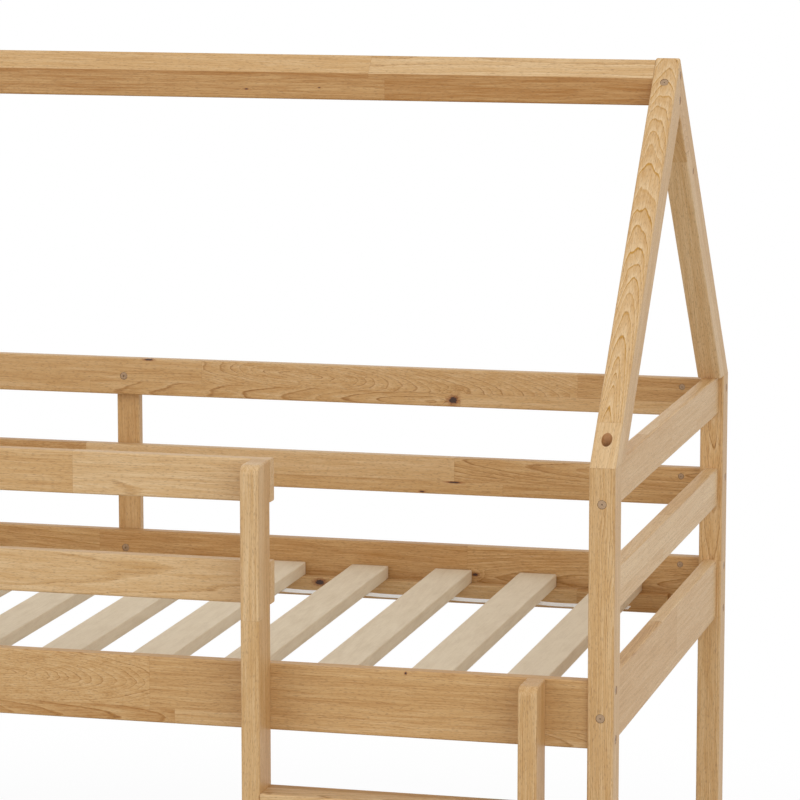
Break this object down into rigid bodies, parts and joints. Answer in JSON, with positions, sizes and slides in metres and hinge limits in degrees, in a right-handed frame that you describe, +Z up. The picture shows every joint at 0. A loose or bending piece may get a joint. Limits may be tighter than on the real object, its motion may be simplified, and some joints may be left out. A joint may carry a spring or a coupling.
{
  "type": "bunk bed",
  "caption": "House-frame bunk bed of oiled oak boards, with a gable roof frame, guard boards, slat bases and a fixed ladder at the front.",
  "frame": {"origin": "on the floor, under the middle of the whole outline, ladder and rear upright included", "axes": "+X along the bed towards the ladder end, +Y from the ladder side to the wall side, +Z up"},
  "size_m": [2.086, 1.044, 2.147],
  "materials": {
    "oiled_oak": "planed, edge-glued staves, oiled, satin",
    "slat_wood": "planed, untreated, matt",
    "white_webbing": "woven, matt",
    "zinc_steel": "zinc-plated, dull"
  },
  "bodies": {
    "root": {"post_front_left": "oiled_oak", "post_front_right": "oiled_oak", "post_rear_left": "oiled_oak", "post_rear_right": "oiled_oak", "rafter_front_left": "oiled_oak", "rafter_front_right": "oiled_oak", "rafter_rear_left": "oiled_oak", "rafter_rear_right": "oiled_oak", "rafter_bolt_front_left": "zinc_steel", "rafter_bolt_front_right": "zinc_steel", "rafter_bolt_rear_left": "zinc_steel", "rafter_bolt_rear_right": "zinc_steel", "ridge_beam": "oiled_oak", "rear_upright": "oiled_oak", "guard_rail_top_rear": "oiled_oak", "guard_rail_middle_rear": "oiled_oak", "guard_rail_top_front": "oiled_oak", "guard_rail_middle_front": "oiled_oak", "upper_side_rail_rear": "oiled_oak", "upper_side_rail_front": "oiled_oak", "lower_side_rail_rear": "oiled_oak", "lower_side_rail_front": "oiled_oak", "end_rail_top_left": "oiled_oak", "end_rail_top_right": "oiled_oak", "end_rail_middle_left": "oiled_oak", "end_rail_middle_right": "oiled_oak", "end_rail_low_left": "oiled_oak", "end_rail_low_right": "oiled_oak", "lower_end_rail_top_left": "oiled_oak", "lower_end_rail_top_right": "oiled_oak", "lower_end_rail_low_left": "oiled_oak", "lower_end_rail_low_right": "oiled_oak", "ladder_stile_left": "oiled_oak", "ladder_stile_right": "oiled_oak", "ladder_rung_1": "oiled_oak", "ladder_rung_2": "oiled_oak", "ladder_rung_3": "oiled_oak", "ladder_rung_4": "oiled_oak", "upper_ledger_front": "oiled_oak", "upper_ledger_rear": "oiled_oak", "lower_ledger_front": "oiled_oak", "lower_ledger_rear": "oiled_oak", "upper_slat_01": "slat_wood", "upper_slat_02": "slat_wood", "upper_slat_03": "slat_wood", "upper_slat_04": "slat_wood", "upper_slat_05": "slat_wood", "upper_slat_06": "slat_wood", "upper_slat_07": "slat_wood", "upper_slat_08": "slat_wood", "upper_slat_09": "slat_wood", "upper_slat_10": "slat_wood", "upper_slat_11": "slat_wood", "upper_slat_12": "slat_wood", "upper_slat_13": "slat_wood", "upper_slat_strap_front": "white_webbing", "upper_slat_strap_rear": "white_webbing", "lower_slat_roll": "slat_wood"}
  },
  "joints": []
}
